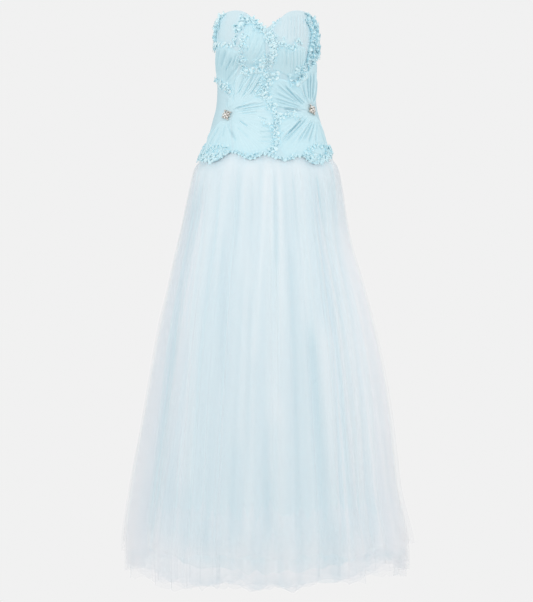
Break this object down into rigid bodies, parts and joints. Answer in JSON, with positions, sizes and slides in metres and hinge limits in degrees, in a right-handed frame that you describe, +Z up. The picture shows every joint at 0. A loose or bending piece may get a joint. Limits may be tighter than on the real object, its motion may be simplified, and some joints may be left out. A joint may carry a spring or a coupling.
{
  "type": "ball gown",
  "caption": "Strapless floor-length ball gown, filled out as worn: petal and ruffle trimmed corset bodice with a sweetheart neckline over layered tulle skirts.",
  "frame": {"origin": "centre of the waist section, level with the narrowest part of the bodice, where the wearer's body holds the gown up", "axes": "+Z up along the wearer's body, -Y out of the gown's front, +X to the right of somebody who looks at the front"},
  "size_m": [0.7238, 0.6064, 1.4019],
  "materials": {
    "bodice_satin": "pale blue satin faced corset cloth under pleated chiffon",
    "chiffon": "matt crinkled silk chiffon",
    "lining_satin": "soft satin, low sheen",
    "tulle": "fine sheer net",
    "crystal": "faceted crystals in a pale metal setting",
    "zip_tape": "woven zip tape"
  },
  "bodies": {
    "root": {"bodice_back_left": "bodice_satin", "bodice_back_right": "bodice_satin", "bodice_front": "bodice_satin", "bodice_side_left": "bodice_satin", "bodice_side_right": "bodice_satin", "brooch_left": "crystal", "brooch_right": "crystal", "cup_left": "bodice_satin", "cup_right": "bodice_satin", "lining_back": "lining_satin", "lining_front": "lining_satin", "over_tulle_back": "tulle", "over_tulle_front": "tulle", "petal_left_cup": "chiffon", "petal_left_hem": "chiffon", "petal_left_hip": "chiffon", "petal_left_side": "chiffon", "petal_left_waist": "chiffon", "petal_right_hip": "chiffon", "petal_right_side": "chiffon", "petal_right_underbust": "chiffon", "petal_right_waist": "chiffon", "ruffle_hem_back_left": "chiffon", "ruffle_hem_back_right": "chiffon", "ruffle_hem_left": "chiffon", "ruffle_hem_middle": "chiffon", "ruffle_hem_right": "chiffon", "ruffle_hem_side": "chiffon", "ruffle_left_cup": "chiffon", "ruffle_left_neck": "chiffon", "ruffle_left_side": "chiffon", "ruffle_left_underarm": "chiffon", "ruffle_left_underbust": "chiffon", "ruffle_middle_cups": "chiffon", "ruffle_middle_front": "chiffon", "ruffle_middle_hip": "chiffon", "ruffle_middle_underbust": "chiffon", "ruffle_middle_waist": "chiffon", "ruffle_right_front": "chiffon", "ruffle_right_side": "chiffon", "ruffle_right_underbust": "chiffon", "ruffle_right_waist": "chiffon", "under_tulle_back": "tulle", "under_tulle_front": "tulle", "zip_back": "zip_tape"}
  },
  "joints": []
}
